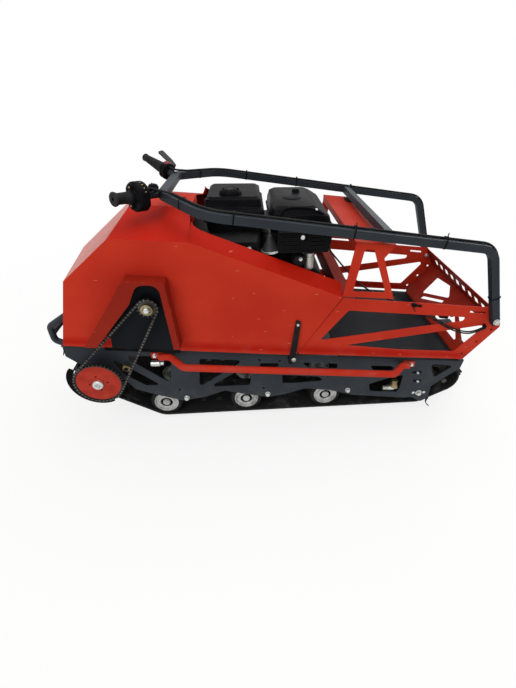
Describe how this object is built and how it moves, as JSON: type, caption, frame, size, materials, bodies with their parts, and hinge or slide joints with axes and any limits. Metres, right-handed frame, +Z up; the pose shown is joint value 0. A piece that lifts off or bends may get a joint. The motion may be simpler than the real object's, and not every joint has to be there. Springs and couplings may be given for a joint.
{
  "type": "tracked snow towing vehicle",
  "caption": "Walk-behind tracked snow tug with a belt track under a sheet-metal hood, a chain final drive, an open load tray and a fold-over steering handlebar.",
  "frame": {"origin": "on the ground at the middle of the machine, in its middle plane", "axes": "-X is the front, +Y its right side, +Z up"},
  "size_m": [1.6, 0.67, 0.9243],
  "materials": {
    "red_paint": "satin",
    "textured_red": "matte",
    "graphite_paint": "satin",
    "rubber": "matte",
    "zinc": "satin",
    "chain_steel": "satin",
    "black_plastic": "satin",
    "engine_metal": "satin",
    "exhaust_steel": "satin",
    "cable_sheath": "satin"
  },
  "bodies": {
    "chassis": {"air_cleaner": "black_plastic", "bracket_left": "red_paint", "bracket_right": "red_paint", "bracket_top": "red_paint", "cable_glands": "black_plastic", "chain_cover": "red_paint", "chain_cover_back": "graphite_paint", "control_cable": "cable_sheath", "cross_beam": "red_paint", "deck_plate": "graphite_paint", "drive_axle": "zinc", "drive_chain": "chain_steel", "driven_sprocket": "red_paint", "engine_block": "engine_metal", "engine_mount": "graphite_paint", "front_bumper": "graphite_paint", "fuel_tank": "black_plastic", "gearbox": "engine_metal", "hood_front": "textured_red", "hood_latches": "rubber", "hood_side_left": "red_paint", "hood_side_right": "red_paint", "hood_top": "red_paint", "muffler": "exhaust_steel", "muffler_guard": "black_plastic", "output_sprocket": "zinc", "pivot_bolts": "zinc", "rear_idler": "zinc", "recoil_starter": "black_plastic", "rest_pads": "rubber", "roller_arms_left": "graphite_paint", "roller_arms_right": "graphite_paint", "rollers_1": "zinc", "rollers_2": "zinc", "rollers_3": "zinc", "rollers_4": "zinc", "side_plate_left": "graphite_paint", "side_plate_right": "graphite_paint", "side_rail_left": "red_paint", "side_rail_right": "red_paint", "tail_cables": "cable_sheath", "tail_plate": "red_paint", "tow_hitch": "graphite_paint", "track": "rubber", "tray_floor": "graphite_paint", "tray_side_left": "red_paint", "tray_side_right": "red_paint"},
    "handlebar": {"brake_lever": "engine_metal", "control_housings": "black_plastic", "grip_tubes": "graphite_paint", "grips": "rubber", "handlebar_cross": "graphite_paint", "handlebar_loop": "graphite_paint", "kill_switch": "black_plastic", "run_cables": "cable_sheath"}
  },
  "joints": [
    {"name": "handlebar_fold", "type": "hinge", "parent": "chassis", "child": "handlebar", "pos_m": [0.748, 0, 0.454], "axis": [0, 1, 0], "range_deg": [0, 130]}
  ]
}
